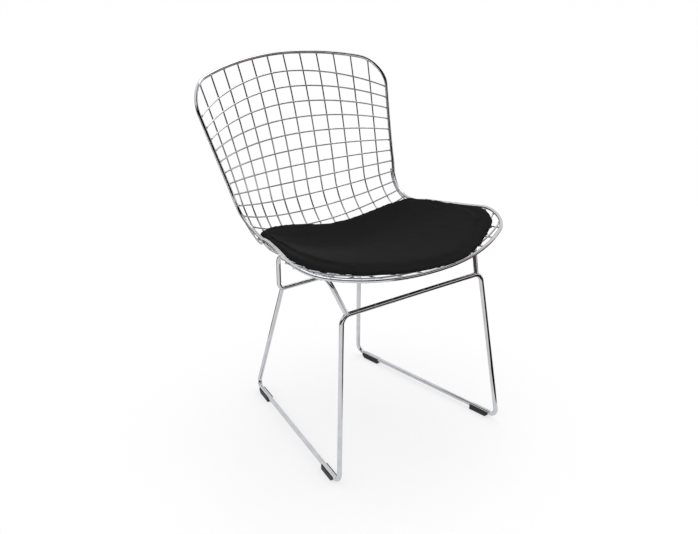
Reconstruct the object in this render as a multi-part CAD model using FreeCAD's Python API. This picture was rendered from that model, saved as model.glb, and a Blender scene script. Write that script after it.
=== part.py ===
import FreeCAD, Part

import math
import os

# Wire mesh side chair: a welded wire basket with a seat pad on a bent rod base.
# Millimetres. +Z is up and the floor is Z = 0. The sitter faces -Y and +X is seen on the right
# from the front. The origin is the middle of the chair's bounding box, on the floor.

# Stock
base_rod_diameter = 10.0
rim_rod_diameter = 7.5
wire_diameter = 3.5
weld_gap = 0.2

# Mesh: lengthwise wires run from the front rim up to the top rim, cross wires from side to side
lengthwise_wires = 12
cross_wires = 23
centre_row_pitch = 35.2
side_row_pitch = 27.2

# Profile along the middle of the basket, measured from the first cross wire
first_row_height = 714.5
first_row_setback = 537.5
middle_lean_top = 66.8
middle_lean_low = 76.0
middle_back_length = 250.0
middle_bend_radius = 165.0
middle_seat_rise = 13.9

# Profile along the outermost lengthwise wire
side_row_height = 676.7
side_row_setback = 479.5
side_lean_top = 67.7
side_lean_low = 69.9
side_bend_lag = 9.8
side_bend_radius = 117.0
side_seat_rise = 8.3

# Half widths at the outermost lengthwise wire
half_width_first_row = 210.7
half_width_waist = 178.5
half_width_front = 227.0
waist_after_bend = 3.2
waist_roundness = 2.5

# Cross section of the mesh: how the rows curve from the middle to the side
row_power_top = 1.85
row_power_seat = 2.1
row_crowding = 0.6

# Rim outline on the mesh, in wire pitches across and in rows along
rim_margin = 1.0
rim_front_bulge = 0.25
rim_top_row = -0.19
rim_top_drop = 0.028
rim_waist_inset = 0.1
rim_waist_rows = 3.0
rim_front_row = 23.4
rim_front_bow = 0.34
top_corner_wide = 1.5
top_corner_long = 2.2
front_corner_wide = 1.6
front_corner_long = 2.5
top_corner_fall = 4.0
waist_rows = 3.5
waist_wire_inset = 5.6
waist_wire_rows = 2.6
wire_lap_setback = 2.0

# Turn under which a stretch of wire is made straight, as rise over half chord
straight_limit = 0.001

# Base rod: floor corners and front crossbar
runner_clearance = 4.8
front_foot_half_width = 214.3
front_foot_setback = -0.3
rear_foot_half_width = 145.8
rear_foot_setback = 432.0
crossbar_half_width = 178.5
crossbar_setback = 40.7
crossbar_height = 354.4
floor_bend_radius = 17.0
crossbar_bend_radius = 20.0

# Cradle rod: rear bar, posts, rails under the mesh and front struts
rear_bar_height = 268.5
leg_top_half_width = 106.6
strut_foot_half_width = 166.7
post_setback = 376.8
rail_rear_row = 15.3
rail_rear_place = 3.93
rail_front_row = 21.45
rail_front_place = 4.56
rear_bar_bend_radius = 14.0
rail_bend_radius = 24.0

# Bridges that clamp the basket down on the rails, each with a screw into the rail
bridge_rows = (15.5, 18.5)
bridge_place = 4.0
bridge_length = 14.0
bridge_overhang = 4.0
bridge_thickness = 2.0
bridge_edge_round = 0.8
screw_diameter = 4.0
screw_gap = 0.15
screw_depth = 7.0
screw_head_diameter = 8.0
screw_head_height = 1.4

# Glides: channels that clip round the runners from below
glide_length = 50.0
glide_wall = 1.6
glide_lip = 1.8
glide_bevel = 4.0
front_glide_distance = 47.0
rear_glide_distance = 47.0

# Seat pad: its outline is the rim's drawn in, in wire pitches across and in rows along
pad_thickness = 13.0
pad_crown = 10.0
pad_clearance = 0.7
pad_rim_inset = 17.0
pad_edge_round = 4.0
pad_behind_waist = 0.2
pad_rear_corner_wide = 2.4
pad_rear_corner_long = 1.1
pad_front_row = 22.75
pad_front_bow = 0.72
pad_front_corner_wide = 1.85
pad_front_corner_long = 3.0
pad_tip_place = 1.2
pad_nose_long = 0.35
pad_nose_thinnest = 0.55

# Stretches into which each curved piece is divided, each one a pair of arcs
rim_top_spans = 3
rim_corner_spans = 4
rim_side_spans = 16
lengthwise_spans = 18
cross_spans = 8
waist_spans = 4
pad_rear_spans = 6
pad_middle_spans = 8
pad_front_spans = 6
pad_tip_spans = 4
rim_samples = 200

bend_row = 1 + middle_back_length / centre_row_pitch
waist_row = bend_row + waist_after_bend
side_back_length = middle_back_length * side_row_pitch / centre_row_pitch + side_bend_lag
pad_rear_row = waist_row + pad_behind_waist

half_wires = lengthwise_wires / 2.0
outer_wire_place = half_wires - 0.5
rim_place = outer_wire_place + rim_margin
front_corner_row = rim_front_row - front_corner_long

# Heights of the layers over the mesh surface, along its normal on the sitter's side
mesh_layer_middle = 1.25
lengthwise_layer = mesh_layer_middle - (wire_diameter + weld_gap) / 2.0
cross_layer = lengthwise_layer + wire_diameter + weld_gap
back_rim_layer = mesh_layer_middle
front_rim_layer = mesh_layer_middle
seat_rim_layer = cross_layer + (wire_diameter + rim_rod_diameter) / 2.0 + weld_gap
rail_layer = lengthwise_layer - (wire_diameter + base_rod_diameter) / 2.0 - weld_gap
pad_layer = cross_layer + wire_diameter / 2.0 + pad_clearance


def profile_point(setback, height, lean_top, lean_low, back_length, bend_radius, seat_rise, s):
    """Point of a profile at arc length s below the first row: a slowly turning back,
    a round bend and a straight seat. Leans are degrees from the horizontal."""
    start = math.radians(lean_top)
    turn = math.radians(lean_low - lean_top) / back_length
    along = min(s, back_length)
    y = setback - (math.sin(start + turn * along) - math.sin(start)) / turn
    z = height + (math.cos(start + turn * along) - math.cos(start)) / turn
    if s <= back_length:
        return y, z
    low = math.radians(lean_low)
    seat = math.radians(-seat_rise)
    bend = min(s - back_length, bend_radius * (low - seat))
    y -= bend_radius * (math.sin(low) - math.sin(low - bend / bend_radius))
    z -= bend_radius * (math.cos(low - bend / bend_radius) - math.cos(low))
    straight = s - back_length - bend
    y -= straight * math.cos(seat)
    z -= straight * math.sin(seat)
    return y, z


def middle_point(row):
    return profile_point(
        first_row_setback, first_row_height, middle_lean_top, middle_lean_low,
        middle_back_length, middle_bend_radius, middle_seat_rise, (row - 1) * centre_row_pitch)


def side_point(row):
    return profile_point(
        side_row_setback, side_row_height, side_lean_top, side_lean_low,
        side_back_length, side_bend_radius, side_seat_rise, (row - 1) * side_row_pitch)


def flare(distance):
    """Grows from 0 at the waist, first slowly and then evenly."""
    return math.hypot(distance, waist_roundness) - waist_roundness


def half_width(row):
    if row < waist_row:
        share = flare(waist_row - row) / flare(waist_row - 1)
        return half_width_waist + (half_width_first_row - half_width_waist) * share
    share = flare(row - waist_row) / flare(rim_front_row - waist_row)
    return half_width_waist + (half_width_front - half_width_waist) * share


def mesh_point(row, place):
    """Point of the mesh surface at a row number and at a place across, in wire pitches."""
    middle_y, middle_z = middle_point(row)
    side_y, side_z = side_point(row)
    share = min(max((row - 1) / (waist_row - 1), 0.0), 1.0)
    power = row_power_top + (row_power_seat - row_power_top) * share
    depth = (abs(place) / outer_wire_place) ** power
    x = half_width(row) * math.sin(row_crowding * place / outer_wire_place) / math.sin(row_crowding)
    y = middle_y + (side_y - middle_y) * depth
    z = middle_z + (side_z - middle_z) * depth
    return FreeCAD.Vector(x, y, z)


def mesh_normal(row, place):
    """Unit normal of the mesh surface on the sitter's side."""
    step = 0.05
    along = mesh_point(row + step, place) - mesh_point(row - step, place)
    across = mesh_point(row, place + step) - mesh_point(row, place - step)
    normal = along.cross(across)
    normal.normalize()
    if normal.z < 0:
        normal = normal * -1
    return normal


def surface_point(row, place, height):
    """Point at a height over the mesh surface, before the frame shift."""
    return mesh_point(row, place) + mesh_normal(row, place) * height


def layer_point(row, place, height):
    """Point at a height over the mesh surface, in the chair's own frame."""
    return surface_point(row, place, height) - frame_shift


def pitch_across(row, place):
    return mesh_point(row, place).distanceToPoint(mesh_point(row, abs(place) - 1.0))


def ease(share):
    """Smooth step from 0 to 1."""
    share = min(max(share, 0.0), 1.0)
    return share * share * (3.0 - 2.0 * share)


def rim_top(place):
    """Row of the top rim above a place across, rounded down into the side at the corner."""
    beside = min(max(0.0, abs(place) - rim_place + top_corner_wide), top_corner_wide)
    corner = 1.0 - math.sqrt(1.0 - (beside / top_corner_wide) ** 2)
    return rim_top_row - rim_top_drop * place * place + top_corner_long * corner


def seat_share(row):
    """0 on the back, 1 on the seat, with a smooth step at the waist."""
    return ease((row - waist_row) / waist_rows + 0.5)


def side_place(row):
    """Place across of the side rim at a row."""
    share = max(0.0, (row - waist_row) / (front_corner_row - waist_row))
    waist = max(0.0, 1.0 - ((row - waist_row) / rim_waist_rows) ** 2)
    return rim_place + rim_front_bulge * min(share, 1.0) ** 2 - rim_waist_inset * waist


def front_bow(place):
    """Rows by which the front bows out beyond its corners at a place across."""
    inner = side_place(rim_front_row) - front_corner_wide
    return rim_front_bow * max(0.0, 1.0 - (place / inner) ** 2)


def front_row(place):
    """Row where a lengthwise wire meets the front rim."""
    inner = side_place(rim_front_row) - front_corner_wide
    reach = max(0.0, (abs(place) - inner) / front_corner_wide)
    corner = front_corner_long * (1.0 - math.sqrt(1.0 - reach * reach))
    return rim_front_row + front_bow(place) - corner


def row_end(row):
    """Place across where a cross wire meets the side rim."""
    reach = max(0.0, (row - front_corner_row) / front_corner_long)
    return side_place(row) - front_corner_wide * (1.0 - math.sqrt(1.0 - reach * reach))


def rim_way(way):
    """Row, place and height of the rim at a way number along its right half: 0 to 1 is the top,
    1 to 2 the top corner, 2 to 3 the side, 3 to 4 the front corner and 4 to 5 the front."""
    top_corner_place = rim_place - top_corner_wide
    if way < 1.0:
        place = top_corner_place * way
        return rim_top(place), place, back_rim_layer - top_corner_fall * way ** 2
    if way < 2.0:
        place = top_corner_place + top_corner_wide * math.sin(math.radians(90.0 * (way - 1.0)))
        return rim_top(place), place, back_rim_layer - top_corner_fall * (1.0 - ease(way - 1.0))
    if way < 3.0:
        top_corner_row = rim_top(rim_place)
        row = top_corner_row + (front_corner_row - top_corner_row) * (way - 2.0)
        rise = (seat_rim_layer - back_rim_layer) * seat_share(row)
        return row, side_place(row), back_rim_layer + rise
    if way < 4.0:
        angle = math.radians(90.0 * (way - 3.0))
        row = front_corner_row + front_corner_long * math.sin(angle)
        place = side_place(rim_front_row) - front_corner_wide * (1.0 - math.cos(angle))
        fall = ease(way - 3.0)
        return row, place, seat_rim_layer + (front_rim_layer - seat_rim_layer) * fall
    place = (side_place(rim_front_row) - front_corner_wide) * (5.0 - way)
    return rim_front_row + front_bow(place), place, front_rim_layer


def rim_curve(way):
    """Centre line of the rim before the frame shift, carried on past the middle plane."""
    row, place, height = rim_way(abs(way))
    point = surface_point(row, abs(place), height)
    if way < 0.0 or place < 0.0:
        return opposite(point)
    return point


def opposite(point):
    return FreeCAD.Vector(-point.x, point.y, point.z)


def spaced(start, end, spans):
    return [start + (end - start) * step / spans for step in range(spans + 1)]


def arc_to(start, corner, end):
    """Arc from start to end, tangent there to the lines that meet in the corner."""
    chord_middle = (start + end) * 0.5
    half_chord = start.distanceToPoint(chord_middle)
    rise = corner.distanceToPoint(chord_middle)
    if rise < half_chord * straight_limit:
        return Part.LineSegment(start, end).toShape()
    sagitta = half_chord * math.tan(math.atan2(rise, half_chord) / 2.0)
    arc_middle = chord_middle + (corner - chord_middle) * (sagitta / rise)
    return Part.Arc(start, arc_middle, end).toShape()


def arc_path(curve, stations):
    """Pairs of tangent arcs through the stations of a curve, a function of one number."""
    step = 0.01
    points = [curve(station) for station in stations]
    headings = []
    for station in stations:
        heading = curve(station + step) - curve(station - step)
        heading.normalize()
        headings.append(heading)
    edges = []
    for start, end, leaving, arriving in zip(points, points[1:], headings, headings[1:]):
        chord = end - start
        advance = chord.dot(leaving + arriving)
        turn = 2.0 * (1.0 - leaving.dot(arriving))
        reach = chord.dot(chord) / (advance + math.sqrt(advance ** 2 + turn * chord.dot(chord)))
        first_corner = start + leaving * reach
        second_corner = end - arriving * reach
        joint = (first_corner + second_corner) * 0.5
        edges.append(arc_to(start, first_corner, joint))
        edges.append(arc_to(joint, second_corner, end))
    return Part.Wire(edges)


def bent_path(corners, radii):
    """Straight runs between corner points, joined by tangent arcs."""
    edges = []
    last = corners[0]
    for before, corner, after, radius in zip(corners, corners[1:], corners[2:], radii):
        back = before - corner
        ahead = after - corner
        back.normalize()
        ahead.normalize()
        half_angle = back.getAngle(ahead) / 2.0
        setback = radius / math.tan(half_angle)
        middle = back + ahead
        middle.normalize()
        arc_middle = corner + middle * (radius / math.sin(half_angle) - radius)
        edges.append(Part.LineSegment(last, corner + back * setback).toShape())
        edges.append(Part.Arc(corner + back * setback, arc_middle, corner + ahead * setback).toShape())
        last = corner + ahead * setback
    edges.append(Part.LineSegment(last, corners[-1]).toShape())
    return Part.Wire(edges)


def tube(path, diameter):
    """Round bar along a path."""
    edge = path.OrderedEdges[0]
    start = edge.valueAt(edge.FirstParameter)
    direction = edge.tangentAt(edge.FirstParameter)
    if edge.Orientation == "Reversed":
        start = edge.valueAt(edge.LastParameter)
        direction = edge.tangentAt(edge.LastParameter) * -1
    section = Part.Wire(Part.makeCircle(diameter / 2.0, start, direction))
    return Part.Wire(path.OrderedEdges).makePipeShell([section], True, False)


def mirrored(shape):
    return shape.mirror(FreeCAD.Vector(0, 0, 0), FreeCAD.Vector(1, 0, 0))


def rim_rod():
    """Rim of the basket: one closed heavy rod, bent to the outline of the mesh."""
    stations = spaced(0.0, 1.0, rim_top_spans)
    stations += spaced(1.0, 2.0, rim_corner_spans)[1:]
    stations += spaced(2.0, 3.0, rim_side_spans)[1:]
    stations += spaced(3.0, 4.0, rim_corner_spans)[1:]
    stations += spaced(4.0, 5.0, rim_top_spans)[1:]
    half = tube(arc_path(lambda way: rim_curve(way) - frame_shift, stations), rim_rod_diameter)
    return half.fuse(mirrored(half)).removeSplitter()


def rim_room(stations):
    """Room for a stretch of the rim's right half, to fit wire ends against it."""
    path = arc_path(lambda way: rim_curve(way) - frame_shift, stations)
    return tube(path, rim_rod_diameter + 2.0 * weld_gap)


def rim_top_room():
    return rim_room(spaced(0.0, 1.0, rim_top_spans) + spaced(1.0, 2.0, rim_corner_spans)[1:])


def rim_front_room():
    return rim_room(spaced(3.0, 4.0, rim_corner_spans) + spaced(4.0, 5.0, rim_top_spans)[1:])


def lengthwise_wire(place, top_room, front_room):
    """Wire from the top rim down the back and forward to the front rim."""
    stations = spaced(rim_top(place), front_row(place), lengthwise_spans)
    path = arc_path(lambda row: layer_point(row, place, lengthwise_layer), stations)
    return tube(path, wire_diameter).cut(top_room).cut(front_room)


def cross_setback(row):
    """How far a cross wire stops short of the rim's centre line: clear of the rim where it butts
    on it, and a little short of the middle where it laps under it."""
    step = 0.02
    place = row_end(row)
    wire_heading = mesh_point(row, place + step) - mesh_point(row, place)
    rim_heading = mesh_point(row + step, row_end(row + step)) - mesh_point(row, place)
    rim_height = back_rim_layer + (seat_rim_layer - back_rim_layer) * seat_share(row)
    beside = max(0.0, rim_height - cross_layer - wire_diameter / 2.0)
    clear = rim_rod_diameter / 2.0 + weld_gap
    slant = abs(math.cos(wire_heading.getAngle(rim_heading)))
    butt = math.sqrt(max(0.0, clear ** 2 - beside ** 2)) + wire_diameter / 2.0 * slant
    return max(butt / math.sqrt(1.0 - slant ** 2), wire_lap_setback)


def cross_wire(row, front_room):
    """Wire from side to side, on the sitter's side of the lengthwise wires."""
    end = row_end(row) - cross_setback(row) / pitch_across(row, row_end(row))
    path = arc_path(lambda place: layer_point(row, place, cross_layer), spaced(-end, end, cross_spans))
    wire = tube(path, wire_diameter)
    if row > front_corner_row:
        wire = wire.cut(front_room).cut(mirrored(front_room))
    return wire


def waist_wire():
    """Short wire behind the rim at the waist, under the ends of the cross wires."""
    def curve(row):
        inset = waist_wire_inset / pitch_across(row, rim_place)
        return layer_point(row, side_place(row) - inset, lengthwise_layer)

    stations = spaced(waist_row - waist_wire_rows, waist_row + waist_wire_rows, waist_spans)
    return tube(arc_path(curve, stations), wire_diameter)


def base_point(half_width_value, setback, height):
    return FreeCAD.Vector(half_width_value, setback, height) - frame_shift


def runner_height():
    return runner_clearance + base_rod_diameter / 2.0


def front_foot():
    return base_point(front_foot_half_width, front_foot_setback, runner_height())


def rear_foot():
    return base_point(rear_foot_half_width, rear_foot_setback, runner_height())


def crossbar_corner():
    return base_point(crossbar_half_width, crossbar_setback, crossbar_height)


def rear_bar_corner():
    rail_rear = rail_rear_corner()
    return FreeCAD.Vector(rail_rear.x, rail_rear.y, rear_bar_height)


def bar_cutter(before, corner, radius):
    """Room for a bar from side to side with its bent ends, to fit a rod end against it."""
    corners = [opposite(before), opposite(corner), corner, before]
    return tube(bent_path(corners, [radius, radius]), base_rod_diameter + 2.0 * weld_gap)


def sled_rod():
    """Front crossbar, front legs, runners and rear legs, bent from one rod. The rear legs end
    against the cradle's rear bar."""
    leg_top = FreeCAD.Vector(leg_top_half_width, rear_bar_corner().y, rear_bar_height)
    right = [crossbar_corner(), front_foot(), rear_foot(), leg_top]
    left = [opposite(point) for point in right]
    radii = [floor_bend_radius, floor_bend_radius, crossbar_bend_radius,
             crossbar_bend_radius, floor_bend_radius, floor_bend_radius]
    rod = tube(bent_path(left[::-1] + right, radii), base_rod_diameter)
    return rod.cut(bar_cutter(rail_rear_corner(), rear_bar_corner(), rear_bar_bend_radius))


def rail_front_corner():
    """Corner between the right rail and its strut, under the mesh."""
    return layer_point(rail_front_row, rail_front_place, rail_layer)


def rail_rear_corner():
    """Corner between the right post and its rail, on the line that follows the mesh."""
    front = rail_front_corner()
    along = layer_point(rail_rear_row, rail_rear_place, rail_layer) - front
    return front + along * ((post_setback - frame_shift.y - front.y) / along.y)


def cradle_rod():
    """Rear bar, posts, rails and front struts, bent from one rod. The struts end against the
    front crossbar."""
    strut_foot = base_point(strut_foot_half_width, crossbar_setback, crossbar_height)
    right = [rear_bar_corner(), rail_rear_corner(), rail_front_corner(), strut_foot]
    left = [opposite(point) for point in right]
    radii = [rail_bend_radius, rail_bend_radius, rear_bar_bend_radius,
             rear_bar_bend_radius, rail_bend_radius, rail_bend_radius]
    rod = tube(bent_path(left[::-1] + right, radii), base_rod_diameter)
    rod = rod.cut(bar_cutter(front_foot(), crossbar_corner(), crossbar_bend_radius))
    for row in bridge_rows:
        rod = rod.cut(screw_hole(row)).cut(mirrored(screw_hole(row)))
    return rod


def rail_place(row):
    """Place across of the rail under a row."""
    share = (row - rail_rear_row) / (rail_front_row - rail_rear_row)
    return rail_rear_place + (rail_front_place - rail_rear_place) * share


def bridge_wires(row):
    """Centres of the two lengthwise wires under a bridge."""
    inner = layer_point(row, bridge_place - 0.5, lengthwise_layer)
    outer = layer_point(row, bridge_place + 0.5, lengthwise_layer)
    return inner, outer


def bridge_placement(row):
    """Frame over the rail: X from wire to wire, Y back along the wires and Z to the sitter."""
    inner, outer = bridge_wires(row)
    ahead = layer_point(row + 0.5, bridge_place, lengthwise_layer)
    behind = layer_point(row - 0.5, bridge_place, lengthwise_layer)
    across = outer - inner
    along = behind - ahead
    turn = FreeCAD.Rotation(across, along, across.cross(along), "ZXY")
    share = rail_place(row) - bridge_place + 0.5
    return FreeCAD.Placement(inner + across * share, turn)


def screw_hole(row):
    """Cutter for the hole that a screw leaves in the bridge and in the rail."""
    bottom = -(wire_diameter / 2.0 + weld_gap + screw_depth)
    top = wire_diameter + bridge_thickness + weld_gap
    hole = Part.makeCylinder(
        screw_diameter / 2.0 + screw_gap, top - bottom, FreeCAD.Vector(0, 0, bottom - screw_gap))
    hole.Placement = bridge_placement(row)
    return hole


def clamp_bridge(row):
    """Strip over two lengthwise wires, between two cross wires."""
    inner, outer = bridge_wires(row)
    apart = inner.distanceToPoint(outer)
    width = apart + wire_diameter + 2.0 * bridge_overhang
    bottom = wire_diameter / 2.0 + weld_gap
    strip = centred_box(width, bridge_length, bottom, bottom + bridge_thickness)
    strip.translate(FreeCAD.Vector(apart * (bridge_place - rail_place(row)), 0, 0))
    strip = strip.makeFillet(bridge_edge_round, strip.Edges)
    strip.Placement = bridge_placement(row)
    return strip.cut(screw_hole(row))


def clamp_screw(row):
    """Low headed screw through the bridge into the rail."""
    seat = wire_diameter / 2.0 + weld_gap + bridge_thickness
    bottom = -(wire_diameter / 2.0 + weld_gap + screw_depth)
    head = Part.makeCylinder(screw_head_diameter / 2.0, screw_head_height, FreeCAD.Vector(0, 0, seat))
    shank = Part.makeCylinder(screw_diameter / 2.0, seat - bottom, FreeCAD.Vector(0, 0, bottom))
    screw = head.fuse(shank).removeSplitter()
    screw.Placement = bridge_placement(row)
    return screw


def centred_box(width, length, bottom, top):
    return Part.makeBox(width, length, top - bottom, FreeCAD.Vector(-width / 2.0, -length / 2.0, bottom))


def glide(start, towards, distance):
    """Channel under a runner, bevelled at its outer bottom end; start is a floor corner."""
    runner = towards - start
    runner.normalize()
    wide = base_rod_diameter + 2.0 * (weld_gap + glide_wall)
    body = centred_box(wide, glide_length, 0.0, runner_height() + glide_lip)
    groove = Part.makeCylinder(
        base_rod_diameter / 2.0 + weld_gap, glide_length,
        FreeCAD.Vector(0, -glide_length / 2.0, runner_height()), FreeCAD.Vector(0, 1, 0))
    bevel = Part.makeBox(wide, glide_bevel * 2.0, glide_bevel * 2.0,
                         FreeCAD.Vector(-wide / 2.0, -glide_bevel, -glide_bevel))
    bevel.rotate(FreeCAD.Vector(0, 0, 0), FreeCAD.Vector(1, 0, 0), 45.0)
    bevel.translate(FreeCAD.Vector(0, -glide_length / 2.0, 0))
    channel = body.cut(groove).cut(bevel)
    spot = start + runner * distance
    turn = FreeCAD.Rotation(FreeCAD.Vector(0, 1, 0), FreeCAD.Vector(runner.x, runner.y, 0))
    channel.Placement = FreeCAD.Placement(FreeCAD.Vector(spot.x, spot.y, 0), turn)
    return channel


def pad_side_place(row):
    """Place across of the pad's side edge, leaving its corners out."""
    return side_place(row) - pad_rim_inset / pitch_across(row, rim_place)


def pad_shoulder_place():
    """Place across where the pad's front corners meet its bowed front."""
    return pad_side_place(pad_front_row) - pad_front_corner_wide


def pad_tip_row():
    """Row of the pad's tip, a short straight edge on its bowed front."""
    return pad_front_row + pad_front_bow * (1.0 - (pad_tip_place / pad_shoulder_place()) ** 2)


def pad_half_place(row):
    """Place across of the pad's edge at a row."""
    if row > pad_front_row:
        return pad_shoulder_place() * math.sqrt(1.0 - (row - pad_front_row) / pad_front_bow)
    front_reach = max(0.0, 1.0 - (pad_front_row - row) / pad_front_corner_long)
    rear_reach = max(0.0, 1.0 - (row - pad_rear_row) / pad_rear_corner_long)
    place = pad_side_place(row) - pad_front_corner_wide * (1.0 - math.sqrt(1.0 - front_reach ** 2))
    return place - pad_rear_corner_wide * (1.0 - math.sqrt(1.0 - rear_reach ** 2))


def pad_nose(row):
    """Share of the pad's full thickness: 1 inside, thinner at the rear and front edges."""
    inside = min(row - pad_rear_row, pad_tip_row() - row)
    reach = min(max(0.0, 1.0 - inside / pad_nose_long), 1.0)
    return pad_nose_thinnest + (1.0 - pad_nose_thinnest) * math.sqrt(1.0 - reach ** 2)


def pad_crown_at(row):
    """Height of the crown in the middle of a row, greatest halfway and none at both ends."""
    share = (row - pad_rear_row) / (pad_tip_row() - pad_rear_row)
    return pad_crown * math.sqrt(max(0.0, math.sin(math.pi * share)))


def pad_point(row, place, height):
    """Point at a height over the mesh, in the plane of its row."""
    middle_y, middle_z = middle_point(row)
    side_y, side_z = side_point(row)
    up = FreeCAD.Vector(0, side_y - middle_y, side_z - middle_z)
    up.normalize()
    return mesh_point(row, place) + up * (height / up.dot(mesh_normal(row, place))) - frame_shift


def pad_section(row):
    """Closed outline across the pad at a row: flat arcs below and above, round edges beside."""
    nose = pad_nose(row)
    half = pad_half_place(row)
    thickness = pad_thickness * nose
    low = pad_layer + (pad_thickness - thickness) / 2.0
    corner = half - pad_edge_round * nose / pitch_across(row, rim_place)
    right_low = pad_point(row, corner, low)
    right_edge = pad_point(row, half, low + thickness / 2.0)
    right_high = pad_point(row, corner, low + thickness)
    middle_low = pad_point(row, 0.0, low)
    middle_high = pad_point(row, 0.0, low + thickness + pad_crown_at(row))
    return Part.Wire([
        Part.Arc(opposite(right_low), middle_low, right_low).toShape(),
        Part.Arc(right_low, right_edge, right_high).toShape(),
        Part.Arc(right_high, middle_high, opposite(right_high)).toShape(),
        Part.Arc(opposite(right_high), opposite(right_edge), opposite(right_low)).toShape(),
    ])


def seat_pad():
    """Upholstered pad that lies on the cross wires, with a low crown and drawn-in edges."""
    rear_side = pad_rear_row + pad_rear_corner_long
    front_side = pad_front_row - pad_front_corner_long
    bow = pad_tip_row() - pad_front_row
    rows = [pad_rear_row + pad_rear_corner_long * share ** 1.5 for share in spaced(0.0, 1.0, pad_rear_spans)]
    rows += spaced(rear_side, front_side, pad_middle_spans)[1:]
    for share in spaced(0.0, 1.0, pad_front_spans)[1:]:
        rows.append(pad_front_row - pad_front_corner_long * (1.0 - share) ** 1.5)
    for share in spaced(0.0, 1.0, pad_tip_spans)[1:]:
        rows.append(pad_tip_row() - bow * (1.0 - share) ** 2)
    return Part.makeLoft([pad_section(row) for row in rows], True, True)


def depth_middle():
    """Middle between the front and the back of the rim."""
    ways = spaced(0.0, 5.0, rim_samples)
    front = min(rim_curve(way).y for way in ways) - rim_rod_diameter / 2.0
    back = max(rim_curve(way).y for way in ways) + rim_rod_diameter / 2.0
    return (front + back) / 2.0


def export(name, shape):
    shape.exportStep("parts/" + name + ".step")


def export_pair(name, right_shape):
    export(name + "_right", right_shape)
    export(name + "_left", mirrored(right_shape))


frame_shift = FreeCAD.Vector(0, depth_middle(), 0)

os.makedirs("parts", exist_ok=True)

export("rim_rod", rim_rod())
top_room = rim_top_room()
front_room = rim_front_room()
for index in range(int(half_wires)):
    wire = lengthwise_wire(index + 0.5, top_room, front_room)
    export("lengthwise_wire_%02d" % (half_wires + index + 1), wire)
    export("lengthwise_wire_%02d" % (half_wires - index), mirrored(wire))
for row in range(1, cross_wires + 1):
    export("cross_wire_%02d" % row, cross_wire(row, front_room))
export_pair("waist_wire", waist_wire())
export("sled_rod", sled_rod())
export("cradle_rod", cradle_rod())

screws = []
for end, row in zip(("rear", "front"), bridge_rows):
    export_pair("clamp_bridge_" + end, clamp_bridge(row))
    screws += [clamp_screw(row), mirrored(clamp_screw(row))]
export("clamp_screws", Part.makeCompound(screws))

export_pair("glide_front", glide(front_foot(), rear_foot(), front_glide_distance))
export_pair("glide_rear", glide(rear_foot(), front_foot(), rear_glide_distance))
export("seat_pad", seat_pad())
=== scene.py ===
import math

import bpy
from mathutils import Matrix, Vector
from mathutils.bvhtree import BVHTree


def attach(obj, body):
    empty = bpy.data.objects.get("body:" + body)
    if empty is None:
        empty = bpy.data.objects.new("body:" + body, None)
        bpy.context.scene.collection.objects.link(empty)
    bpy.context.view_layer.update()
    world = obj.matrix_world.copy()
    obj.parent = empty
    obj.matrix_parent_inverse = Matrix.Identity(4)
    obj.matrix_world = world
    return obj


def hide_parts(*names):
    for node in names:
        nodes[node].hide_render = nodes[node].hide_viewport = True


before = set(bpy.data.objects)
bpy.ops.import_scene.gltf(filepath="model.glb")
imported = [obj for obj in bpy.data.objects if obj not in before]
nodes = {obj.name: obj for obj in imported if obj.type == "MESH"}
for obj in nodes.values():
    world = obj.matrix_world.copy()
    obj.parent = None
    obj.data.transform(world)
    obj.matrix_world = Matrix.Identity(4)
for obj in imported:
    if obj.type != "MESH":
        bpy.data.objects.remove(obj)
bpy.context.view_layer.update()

# Wire mesh chair: polished wire basket and rod base with a black seat pad, on a white studio floor.
# Metres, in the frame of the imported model: +Z up, the sitter faces -Y.

scene = bpy.context.scene

MM = 0.001

# Colours
CHROME_TINT = (0.60, 0.61, 0.635)
WIRE_DULLING = 0.93
LEATHER_DARK = (0.0115, 0.0118, 0.0115)
LEATHER_PALE = (0.0135, 0.0138, 0.0135)
THREAD_DARK = (0.002, 0.002, 0.002)
THREAD_PALE = (0.008, 0.008, 0.008)
PLASTIC_DARK = (0.006, 0.006, 0.007)
PLASTIC_PALE = (0.014, 0.014, 0.016)
PLASTIC_SCUFFED = (0.06, 0.06, 0.06)
BRIDGE_SHADE = 0.5
SCREW_SHADE = 0.42
CARD_BLACK = (0.012, 0.010, 0.010)
CARD_BROWN = (0.16, 0.075, 0.035)
CARD_SLATE = (0.22, 0.22, 0.24)

# Cushion: its even mesh, and how far it is drawn in first and swells at most
PAD_VOXEL = 5.0 * MM
PAD_SMOOTHING = 6
PAD_SHRINK = 0.8 * MM
PAD_MOST_SWELL = 6.0 * MM
PAD_PRESSURE = 4.0
PAD_FRAMES = 20
UNDERSIDE_LIMIT = -0.2

# How the cushion lies: shift and skew, and two places where its outline is fuller
PAD_SHIFT = 9.0 * MM
PAD_SKEW = 0.06
FRONT_ZONE = -140.0 * MM
REAR_ZONE = -20.0 * MM
ZONE_LENGTH = 100.0 * MM
FRONT_FULLNESS = 24.0 * MM
FRONT_FULL_AT = 35.0 * MM
FRONT_FULL_WIDE = 175.0 * MM
FRONT_SAG = 3.0 * MM
REAR_FULLNESS = 13.0 * MM
REAR_FULL_AT = -85.0 * MM
REAR_FULL_WIDE = 145.0 * MM

# Bed of cross wires under the cushion, carried on past its edges by a few spacings
BED_FIRST_ROW = 9
BED_LAST_ROW = 23
BED_COLUMNS = 24
BED_MARGIN = 3.0
ABOVE_ALL = 1.0

# Seam cord round the cushion
SEAM_RADIUS = 0.9 * MM
SEAM_POINTS = 160
SEAM_SMOOTHING = 8
SEAM_NARROWNESS = 3.0

# Weld beads at the wires' ends
BEAD_RADIUS = 2.7 * MM
BEAD_RINGS = 6
BEAD_SIDES = 12
BEAD_UNEVENNESS = 0.07
END_REACH = 3.5 * MM

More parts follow.
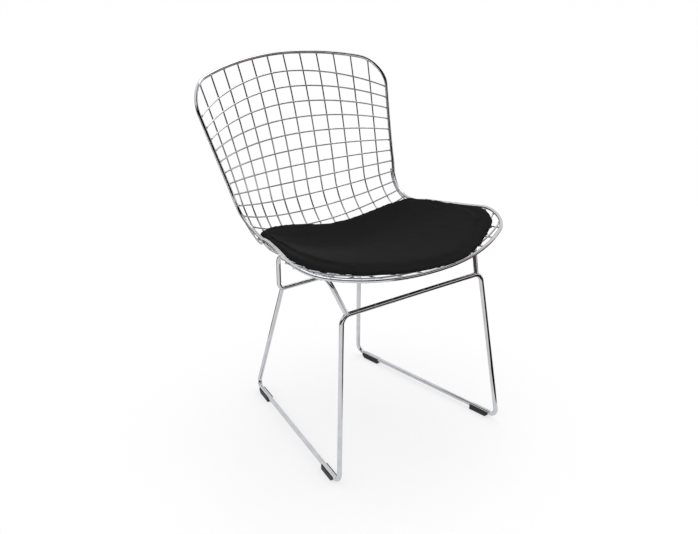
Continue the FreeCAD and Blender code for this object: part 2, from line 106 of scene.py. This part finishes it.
# Camera, fitted to the photograph's frame of 698 by 534
CAMERA_PLACE = (-1128.8 * MM, -1582.8 * MM, 1176.8 * MM)
CAMERA_AZIMUTH = -35.4465
CAMERA_ELEVATION = 23.4415
LENS = 49.886
SENSOR = 36.0

# Studio
FLOOR_REACH = 30.0
FLOOR_OWN_WHITE = 0.62
ROOM_RADIUS = 3.2
CARD_LIFT = 2.0 * MM
CARD_STEPS = 24
KEY_PLACE = (0.8, 0.5, 2.6)
KEY_TARGET = (0.0, 0.0, 0.3)
KEY_WATTS = 6.0


# Materials

def material(name):
    made = bpy.data.materials.new(name)
    made.use_nodes = True
    shader = made.node_tree.nodes["Principled BSDF"]
    return made, made.node_tree, shader


def node(tree, kind, **values):
    """New node. A value goes to the input of that name, or else to the node's own setting."""
    made = tree.nodes.new(kind)
    for key, value in values.items():
        if key in made.inputs:
            made.inputs[key].default_value = value
        else:
            setattr(made, key, value)
    return made


def coordinates(tree, scale=(1.0, 1.0, 1.0)):
    """Object coordinates, which are the chair's own metres."""
    place = node(tree, "ShaderNodeTexCoord")
    mapping = node(tree, "ShaderNodeMapping", Scale=scale)
    tree.links.new(place.outputs["Object"], mapping.inputs["Vector"])
    return mapping.outputs["Vector"]


def noise(tree, vector, scale, detail=4.0, roughness=0.55):
    made = node(tree, "ShaderNodeTexNoise", Scale=scale, Detail=detail, Roughness=roughness)
    tree.links.new(vector, made.inputs["Vector"])
    return made.outputs["Fac"]


def ramp(tree, factor, stops):
    made = node(tree, "ShaderNodeValToRGB")
    elements = made.color_ramp.elements
    for element, (position, colour) in zip(elements, stops):
        element.position = position
        element.color = (*colour, 1.0)
    tree.links.new(factor, made.inputs["Fac"])
    return made.outputs["Color"]


def grey(value):
    return (value, value, value)


def scaled(colour, factor):
    return tuple(value * factor for value in colour)


def calculated(tree, operation, first, second):
    """Output of a math node on two outputs, or on an output and a number."""
    made = node(tree, "ShaderNodeMath", operation=operation)
    for socket, value in zip(made.inputs, (first, second)):
        if isinstance(value, float):
            socket.default_value = value
        else:
            tree.links.new(value, socket)
    return made.outputs[0]


def bumps(tree, shader, height, strength, distance):
    made = node(tree, "ShaderNodeBump", Strength=strength, Distance=distance)
    tree.links.new(height, made.inputs["Height"])
    tree.links.new(made.outputs["Normal"], shader.inputs["Normal"])


def chrome(name, tint, roughness_low, roughness_high, peel_scale):
    """Polished plating: a faint mottle of colour and gloss, and a slight orange peel."""
    made, tree, shader = material(name)
    vector = coordinates(tree)
    mottle = noise(tree, vector, scale=38.0)
    colour = ramp(tree, mottle, [(0.35, scaled(tint, 0.9)), (0.62, tint)])
    tree.links.new(colour, shader.inputs["Base Color"])
    haze = noise(tree, vector, scale=120.0, detail=6.0, roughness=0.65)
    gloss = ramp(tree, haze, [(0.4, grey(roughness_low)), (0.72, grey(roughness_high))])
    tree.links.new(gloss, shader.inputs["Roughness"])
    shader.inputs["Metallic"].default_value = 1.0
    peel = noise(tree, vector, scale=peel_scale, detail=2.0)
    bumps(tree, shader, peel, strength=0.12, distance=0.6 * MM)
    return made


def zinc(name, shade):
    """Zinc plated strip and screws: rolled grain with duller patches."""
    made, tree, shader = material(name)
    along_the_roll = coordinates(tree, (1.0, 6.0, 6.0))
    grain = noise(tree, along_the_roll, scale=420.0, detail=5.0, roughness=0.6)
    stops = [(0.3, grey(shade * 0.72)), (0.7, (shade, shade * 1.005, shade * 1.02))]
    tree.links.new(ramp(tree, grain, stops), shader.inputs["Base Color"])
    patches = noise(tree, coordinates(tree), scale=90.0)
    gloss = ramp(tree, patches, [(0.35, grey(0.3)), (0.7, grey(0.48))])
    tree.links.new(gloss, shader.inputs["Roughness"])
    shader.inputs["Metallic"].default_value = 1.0
    bumps(tree, shader, grain, strength=0.2, distance=0.2 * MM)
    return made


def moulded_plastic(name):
    """Black plastic of the glides: spark-eroded grain, scuffed paler close to the floor."""
    made, tree, shader = material(name)
    vector = coordinates(tree)
    grain = noise(tree, vector, scale=900.0, detail=3.0, roughness=0.6)
    scuff = noise(tree, vector, scale=160.0, detail=6.0, roughness=0.7)
    apart = node(tree, "ShaderNodeSeparateXYZ")
    tree.links.new(vector, apart.inputs[0])
    low = node(tree, "ShaderNodeMapRange")
    low.inputs["From Min"].default_value = 4.0 * MM
    low.inputs["From Max"].default_value = 0.0
    tree.links.new(apart.outputs["Z"], low.inputs["Value"])
    colour = node(tree, "ShaderNodeMix", data_type="RGBA")
    worn = calculated(tree, "MULTIPLY", low.outputs["Result"], scuff)
    tree.links.new(worn, colour.inputs["Factor"])
    tree.links.new(ramp(tree, scuff, [(0.3, PLASTIC_DARK), (0.7, PLASTIC_PALE)]), colour.inputs["A"])
    colour.inputs["B"].default_value = (*PLASTIC_SCUFFED, 1.0)
    tree.links.new(colour.outputs["Result"], shader.inputs["Base Color"])
    gloss = ramp(tree, grain, [(0.3, grey(0.42)), (0.7, grey(0.6))])
    tree.links.new(gloss, shader.inputs["Roughness"])
    shader.inputs["Specular IOR Level"].default_value = 0.35
    bumps(tree, shader, grain, strength=0.35, distance=0.3 * MM)
    return made


def imitation_leather(name):
    """Matt black imitation leather: fine pebbled grain in soft cells, with pores and a dull sheen."""
    made, tree, shader = material(name)
    vector = coordinates(tree)
    cells = node(tree, "ShaderNodeTexVoronoi", Scale=620.0)
    tree.links.new(vector, cells.inputs["Vector"])
    pores = noise(tree, vector, scale=1500.0, detail=3.0, roughness=0.6)
    cloud = noise(tree, vector, scale=14.0, detail=5.0, roughness=0.6)
    colour = ramp(tree, cloud, [(0.3, LEATHER_DARK), (0.7, LEATHER_PALE)])
    tree.links.new(colour, shader.inputs["Base Color"])
    shallow_pores = calculated(tree, "MULTIPLY", pores, 0.35)
    height = calculated(tree, "ADD", shallow_pores, cells.outputs["Distance"])
    gloss = ramp(tree, cloud, [(0.3, grey(0.62)), (0.7, grey(0.74))])
    tree.links.new(gloss, shader.inputs["Roughness"])
    shader.inputs["Specular IOR Level"].default_value = 0.015
    bumps(tree, shader, height, strength=0.4, distance=0.4 * MM)
    return made


def thread(name):
    """Black seam cord: a fine, even roughness of twisted fibres."""
    made, tree, shader = material(name)
    twist = noise(tree, coordinates(tree), scale=1800.0, detail=2.0, roughness=0.5)
    colour = ramp(tree, twist, [(0.35, THREAD_DARK), (0.7, THREAD_PALE)])
    tree.links.new(colour, shader.inputs["Base Color"])
    gloss = ramp(tree, twist, [(0.3, grey(0.7)), (0.7, grey(0.85))])
    tree.links.new(gloss, shader.inputs["Roughness"])
    shader.inputs["Specular IOR Level"].default_value = 0.12
    bumps(tree, shader, twist, strength=0.4, distance=0.3 * MM)
    return made


def dress(prefix, made):
    """Gives every CAD node whose name starts so the material, in all its slots."""
    for name, piece in nodes.items():
        if not name.startswith(prefix):
            continue
        if not piece.material_slots:
            piece.data.materials.append(made)
        for place in piece.material_slots:
            place.material = made


wire_chrome = chrome("wire_chrome", scaled(CHROME_TINT, WIRE_DULLING), 0.05, 0.12, peel_scale=60.0)
rim_chrome = chrome("rim_chrome", CHROME_TINT, 0.03, 0.08, peel_scale=45.0)
base_chrome = chrome("base_chrome", CHROME_TINT, 0.03, 0.08, peel_scale=40.0)
leather = imitation_leather("pad_leather")

for prefix in ("lengthwise_wire", "cross_wire", "waist_wire"):
    dress(prefix, wire_chrome)
dress("rim_rod", rim_chrome)
dress("sled_rod", base_chrome)
dress("cradle_rod", base_chrome)
dress("clamp_bridge", zinc("bridge_steel", BRIDGE_SHADE))
dress("clamp_screws", zinc("screw_steel", SCREW_SHADE))
dress("glide", moulded_plastic("glide_plastic"))


# Pieces

def new_piece(name, mesh, made):
    piece = bpy.data.objects.new(name, mesh)
    scene.collection.objects.link(piece)
    mesh.materials.clear()
    mesh.materials.append(made)
    shade_smooth(mesh)
    return piece


def shade_smooth(mesh):
    for face in mesh.polygons:
        face.use_smooth = True


def shown_mesh(piece):
    """Mesh of what is shown of a piece, with its modifiers or as a tube along its curve."""
    shown = piece.evaluated_get(bpy.context.evaluated_depsgraph_get())
    return bpy.data.meshes.new_from_object(shown)


def apply_modifiers(piece):
    """Puts what the modifiers make into the mesh itself."""
    mesh = shown_mesh(piece)
    piece.modifiers.clear()
    old = piece.data
    piece.data = mesh
    bpy.data.meshes.remove(old)


# Cushion

def bed_points(name):
    """Middle points of a cross wire, from side to side, from its mesh."""
    places = [vertex.co for vertex in nodes[name].data.vertices]
    reach = max(place.x for place in places)
    bins = [[] for _ in range(BED_COLUMNS)]
    for place in places:
        column = int((place.x / reach + 1.0) / 2.0 * BED_COLUMNS)
        bins[min(column, BED_COLUMNS - 1)].append(place)
    return [sum(column, Vector()) / len(column) for column in bins]


def carried_on(inner, outer):
    """Point past an outer one, on the line from the inner one."""
    return outer + (outer - inner) * BED_MARGIN


def wire_bed():
    """Surface through the middles of the cross wires that the pad lies on, carried on past
    their ends and past the first and the last of them."""
    rows = [bed_points("cross_wire_%02d" % row) for row in range(BED_FIRST_ROW, BED_LAST_ROW + 1)]
    rows = [[carried_on(row[1], row[0])] + row + [carried_on(row[-2], row[-1])] for row in rows]
    rows.insert(0, [carried_on(inner, outer) for inner, outer in zip(rows[1], rows[0])])
    rows.append([carried_on(inner, outer) for inner, outer in zip(rows[-2], rows[-1])])
    wide = len(rows[0])
    faces = []
    for row in range(len(rows) - 1):
        for column in range(wide - 1):
            first = row * wide + column
            faces.append((first, first + 1, first + 1 + wide, first + wide))
    return BVHTree.FromPolygons([place for row in rows for place in row], faces)


def bed_point(bed, x, y):
    """Point of the bed straight under a place, or None beside it."""
    return bed.ray_cast(Vector((x, y, ABOVE_ALL)), Vector((0.0, 0.0, -1.0)))[0]


def ease(share):
    """Smooth step from 0 to 1."""
    share = min(max(share, 0.0), 1.0)
    return share * share * (3.0 - 2.0 * share)


def bell(x, centre, half_width):
    """1 at the centre, 0 from a half width on."""
    away = min(abs(x - centre) / half_width, 1.0)
    return math.cos(away * math.pi / 2.0) ** 2


def lay_askew(piece):
    """The pad lies slightly askew in the photograph: its left side further back, its outline
    fuller at the front right and at the rear left. It keeps its height over the wires, but its
    front edge sags a little."""
    bed = wire_bed()
    for vertex in piece.data.vertices:
        old = vertex.co.copy()
        front = ease((FRONT_ZONE - old.y) / ZONE_LENGTH)
        rear = ease((old.y - REAR_ZONE) / ZONE_LENGTH)
        ahead = FRONT_FULLNESS * front * bell(old.x, FRONT_FULL_AT, FRONT_FULL_WIDE)
        behind = REAR_FULLNESS * rear * bell(old.x, REAR_FULL_AT, REAR_FULL_WIDE)
        new = Vector((old.x + PAD_SHIFT, old.y - old.x * PAD_SKEW - ahead + behind, old.z))
        before = bed_point(bed, old.x, old.y)
        after = bed_point(bed, new.x, new.y)
        if before is not None and after is not None:
            new.z += after.z - before.z - FRONT_SAG * front
        vertex.co = new


def pad_block():
    """The pad's own solid, remeshed evenly and drawn in a little so that it can swell."""
    mesh = nodes["seat_pad"].data.copy()
    piece = new_piece("seat_cushion", mesh, leather)
    even = piece.modifiers.new("even", "REMESH")
    even.mode = "VOXEL"
    even.voxel_size = PAD_VOXEL
    smooth = piece.modifiers.new("smooth", "SMOOTH")
    smooth.iterations = PAD_SMOOTHING
    smooth.factor = 0.5
    apply_modifiers(piece)
    normals = [vertex.normal.copy() for vertex in piece.data.vertices]
    for vertex, normal in zip(piece.data.vertices, normals):
        vertex.co -= normal * PAD_SHRINK
    return piece


def swell(piece):
    """Cloth under light pressure. A point moves out by a few millimetres at most and never
    inwards, and the underside stays on the wires."""
    before = [(vertex.co.copy(), vertex.normal.copy()) for vertex in piece.data.vertices]
    cloth = piece.modifiers.new("cloth", "CLOTH")
    cloth.settings.use_pressure = True
    cloth.settings.uniform_pressure_force = PAD_PRESSURE
    cloth.settings.effector_weights.gravity = 0.0
    cloth.settings.quality = 5
    cloth.point_cache.frame_end = PAD_FRAMES
    for number in range(1, PAD_FRAMES + 1):
        scene.frame_set(number)
    apply_modifiers(piece)
    scene.frame_set(1)
    for vertex, (start, normal) in zip(piece.data.vertices, before):
        moved = vertex.co - start
        moved -= normal * min(moved.dot(normal), 0.0)
        most = PAD_SHRINK if normal.z < UNDERSIDE_LIMIT else PAD_MOST_SWELL
        if moved.length > most:
            moved *= most / moved.length
        vertex.co = start + moved


def outline(piece, count):
    """Points round the piece's outermost edge seen from above."""
    places = [vertex.co for vertex in piece.data.vertices]
    middle = sum(places, Vector()) / len(places)

    def reach(place):
        away = place - middle
        return away.dot(heading) - SEAM_NARROWNESS * abs(away.dot(sideways))

    ring = []
    for step in range(count):
        angle = 2.0 * math.pi * step / count
        heading = Vector((math.cos(angle), math.sin(angle), 0.0))
        sideways = Vector((-heading.y, heading.x, 0.0))
        ring.append(max(places, key=reach))
    for _ in range(SEAM_SMOOTHING):
        ring = [(ring[i - 1] + ring[i] * 2.0 + ring[(i + 1) % count]) / 4.0 for i in range(count)]
    return ring


def seam_cord(name, ring, radius, made):
    """Thin closed round cord along a ring of points."""
    curve = bpy.data.curves.new(name, "CURVE")
    curve.dimensions = "3D"
    curve.bevel_depth = radius
    curve.bevel_resolution = 2
    spline = curve.splines.new("NURBS")
    spline.points.add(len(ring) - 1)
    for point, place in zip(spline.points, ring):
        point.co = (*place, 1.0)
    spline.use_cyclic_u = True
    spline.order_u = 4
    curve.resolution_u = 3
    carrier = bpy.data.objects.new(name + "_curve", curve)
    scene.collection.objects.link(carrier)
    mesh = shown_mesh(carrier)
    bpy.data.objects.remove(carrier)
    return new_piece(name, mesh, made)


def seat_cushion():
    """The pad as a swollen cushion with a seam cord, in place of the CAD pad."""
    piece = pad_block()
    swell(piece)
    lay_askew(piece)
    finer = piece.modifiers.new("finer", "SUBSURF")
    finer.levels = 1
    finer.render_levels = 1
    apply_modifiers(piece)
    shade_smooth(piece.data)
    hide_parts("seat_pad")
    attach(piece, "root")
    ring = outline(piece, SEAM_POINTS)
    cord = seam_cord("seat_cushion_seam", ring, SEAM_RADIUS, thread("seam_thread"))
    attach(cord, "root")


# Welds

def wire_end(name, heading):
    """Middle of a wire's end face on the side of a heading, from its mesh."""
    places = [vertex.co for vertex in nodes[name].data.vertices]
    furthest = max(place.dot(heading) for place in places)
    end = [place for place in places if place.dot(heading) > furthest - END_REACH]
    return sum(end, Vector()) / len(end)


def bead_corners(end, number):
    """Rings of points on a slightly uneven ball round a wire's end, from pole to pole."""
    corners = []
    for ring in range(BEAD_RINGS + 1):
        lift = math.pi * ring / BEAD_RINGS
        for side in range(BEAD_SIDES):
            turn = 2.0 * math.pi * side / BEAD_SIDES
            uneven = 1.0 + BEAD_UNEVENNESS * math.sin(3.0 * turn + 2.1 * number) * math.sin(lift)
            heading = Vector((
                math.sin(lift) * math.cos(turn), math.sin(lift) * math.sin(turn), math.cos(lift)))
            corners.append(end + heading * BEAD_RADIUS * uneven)
    return corners


def weld_beads(name, ends, made):
    """One piece with a plated weld bead at each wire end."""
    corners = []
    faces = []
    for number, end in enumerate(ends):
        first = len(corners)
        corners += bead_corners(end, number)
        for ring in range(BEAD_RINGS):
            low = first + ring * BEAD_SIDES
            high = low + BEAD_SIDES
            for side in range(BEAD_SIDES):
                along = (side + 1) % BEAD_SIDES
                faces.append((high + side, high + along, low + along, low + side))
    mesh = bpy.data.meshes.new(name)
    mesh.from_pydata(corners, [], faces)
    mesh.validate()
    piece = new_piece(name, mesh, made)
    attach(piece, "root")


def welds():
    """The wires' ends are welded to the rim."""
    lengthwise = [name for name in nodes if name.startswith("lengthwise_wire")]
    cross = [name for name in nodes if name.startswith("cross_wire")]
    up = Vector((0.0, 0.35, 1.0)).normalized()
    ahead = Vector((0.0, -1.0, 0.2)).normalized()
    right = Vector((1.0, 0.0, 0.0))
    weld_beads("top_rim_welds", [wire_end(name, up) for name in lengthwise], rim_chrome)
    weld_beads("front_rim_welds", [wire_end(name, ahead) for name in lengthwise], rim_chrome)
    ends = [wire_end(name, right) for name in cross] + [wire_end(name, -right) for name in cross]
    weld_beads("side_rim_welds", ends, wire_chrome)


# Studio

def seen_rays(tree):
    """1 for camera, glossy and transmission rays."""
    path = node(tree, "ShaderNodeLightPath")
    seen = calculated(tree, "MAXIMUM", path.outputs["Is Camera Ray"], path.outputs["Is Glossy Ray"])
    return calculated(tree, "MAXIMUM", seen, path.outputs["Is Transmission Ray"])


def paper():
    """White floor: matt paper with a barely visible tooth, part of its white its own, so that
    the chair leaves only a faint shadow."""
    made, tree, shader = material("studio_paper")
    tooth = noise(tree, coordinates(tree), scale=260.0)
    colour = ramp(tree, tooth, [(0.3, grey(0.985)), (0.7, grey(1.0))])
    tree.links.new(colour, shader.inputs["Base Color"])
    shader.inputs["Roughness"].default_value = 1.0
    shader.inputs["Specular IOR Level"].default_value = 0.0
    light = node(tree, "ShaderNodeEmission", Strength=1.0)
    blend = node(tree, "ShaderNodeMixShader")
    own = calculated(tree, "MULTIPLY", seen_rays(tree), FLOOR_OWN_WHITE)
    tree.links.new(own, blend.inputs["Fac"])
    tree.links.new(shader.outputs[0], blend.inputs[1])
    tree.links.new(light.outputs[0], blend.inputs[2])
    tree.links.new(blend.outputs[0], tree.nodes["Material Output"].inputs["Surface"])
    return made


def glow(name, colour):
    """A plain colour that needs no light."""
    made, tree, shader = material(name)
    light = node(tree, "ShaderNodeEmission", Color=(*colour, 1.0), Strength=1.0)
    tree.links.new(light.outputs[0], tree.nodes["Material Output"].inputs["Surface"])
    tree.nodes.remove(shader)
    return made


def stage_piece(name, corners, faces, made):
    mesh = bpy.data.meshes.new(name)
    mesh.from_pydata(corners, [], faces)
    mesh.materials.append(made)
    piece = bpy.data.objects.new(name, mesh)
    scene.collection.objects.link(piece)
    return piece


def only_reflected(piece):
    """A card that only polished metal sees."""
    piece.visible_camera = False
    piece.visible_diffuse = False
    piece.visible_shadow = False
    piece.visible_transmission = False
    piece.visible_volume_scatter = False


def ring_card(name, azimuth_from, azimuth_to, first_edge, second_edge, made):
    """Curved card round the chair between two edges, each given as radius and height. Azimuths
    are degrees, 0 at the front, growing to +X."""
    corners = []
    for step in range(CARD_STEPS + 1):
        angle = math.radians(azimuth_from + (azimuth_to - azimuth_from) * step / CARD_STEPS)
        for radius, height in (first_edge, second_edge):
            corners.append((radius * math.sin(angle), -radius * math.cos(angle), height))
    faces = [(2 * i, 2 * i + 2, 2 * i + 3, 2 * i + 1) for i in range(CARD_STEPS)]
    only_reflected(stage_piece(name, corners, faces, made))


def screen(name, azimuth_from, azimuth_to, low, high, made):
    """Upright card at the wall of the room."""
    ring_card(name, azimuth_from, azimuth_to, (ROOM_RADIUS, low), (ROOM_RADIUS, high), made)


def sector(name, azimuth_from, azimuth_to, inner, made):
    """Flat card on the floor, from an inner radius to the wall of the room."""
    ring_card(name, azimuth_from, azimuth_to, (inner, CARD_LIFT), (ROOM_RADIUS, CARD_LIFT), made)


def studio():
    """White floor, and cards that give the chrome its dark and brown stripes."""
    near = -FLOOR_REACH
    far = FLOOR_REACH
    corners = [(near, near, 0.0), (far, near, 0.0), (far, far, 0.0), (near, far, 0.0)]
    stage_piece("floor", corners, [(0, 1, 2, 3)], paper())
    black = glow("black_card", CARD_BLACK)
    brown = glow("brown_card", CARD_BROWN)
    slate = glow("grey_card", CARD_SLATE)
    screen("left_screen", -105.0, -50.0, 0.35, 2.6, black)
    screen("front_screen", -50.0, 10.0, 1.15, 4.5, black)
    screen("right_screen", 10.0, 75.0, 1.85, 7.0, black)
    screen("right_low_screen", 10.0, 75.0, 0.05, 0.9, brown)
    screen("far_left_screen", -135.0, -105.0, 0.3, 1.6, slate)
    sector("right_floor_near", 5.0, 50.0, 0.45, black)
    sector("right_floor", 50.0, 150.0, 0.45, brown)
    sector("left_floor", -170.0, -125.0, 0.6, brown)


def world_light():
    """White light from all round."""
    world = bpy.data.worlds.new("studio_white")
    world.use_nodes = True
    scene.world = world
    shader = world.node_tree.nodes["Background"]
    shader.inputs["Color"].default_value = (1.0, 1.0, 1.0, 1.0)
    shader.inputs["Strength"].default_value = 1.0


def key_light():
    """Soft lamp over the chair, a little from behind on its right."""
    lamp = bpy.data.lights.new("key", "AREA")
    lamp.shape = "RECTANGLE"
    lamp.size = 0.9
    lamp.size_y = 0.7
    lamp.energy = KEY_WATTS
    key = bpy.data.objects.new("key", lamp)
    key.location = KEY_PLACE
    key.rotation_euler = (Vector(KEY_TARGET) - key.location).to_track_quat("-Z", "Y").to_euler()
    scene.collection.objects.link(key)


def camera():
    made = bpy.data.cameras.new("camera")
    made.lens = LENS
    made.sensor_width = SENSOR
    made.clip_start = 0.05
    made.clip_end = 100.0
    eye = bpy.data.objects.new("camera", made)
    scene.collection.objects.link(eye)
    eye.location = CAMERA_PLACE
    azimuth = math.radians(CAMERA_AZIMUTH)
    elevation = math.radians(CAMERA_ELEVATION)
    heading = Vector((
        -math.sin(azimuth) * math.cos(elevation), math.cos(azimuth) * math.cos(elevation),
        -math.sin(elevation)))
    eye.rotation_euler = heading.to_track_quat("-Z", "Y").to_euler()
    scene.camera = eye


seat_cushion()
welds()
studio()
world_light()
key_light()
camera()

scene.view_settings.view_transform = "Standard"
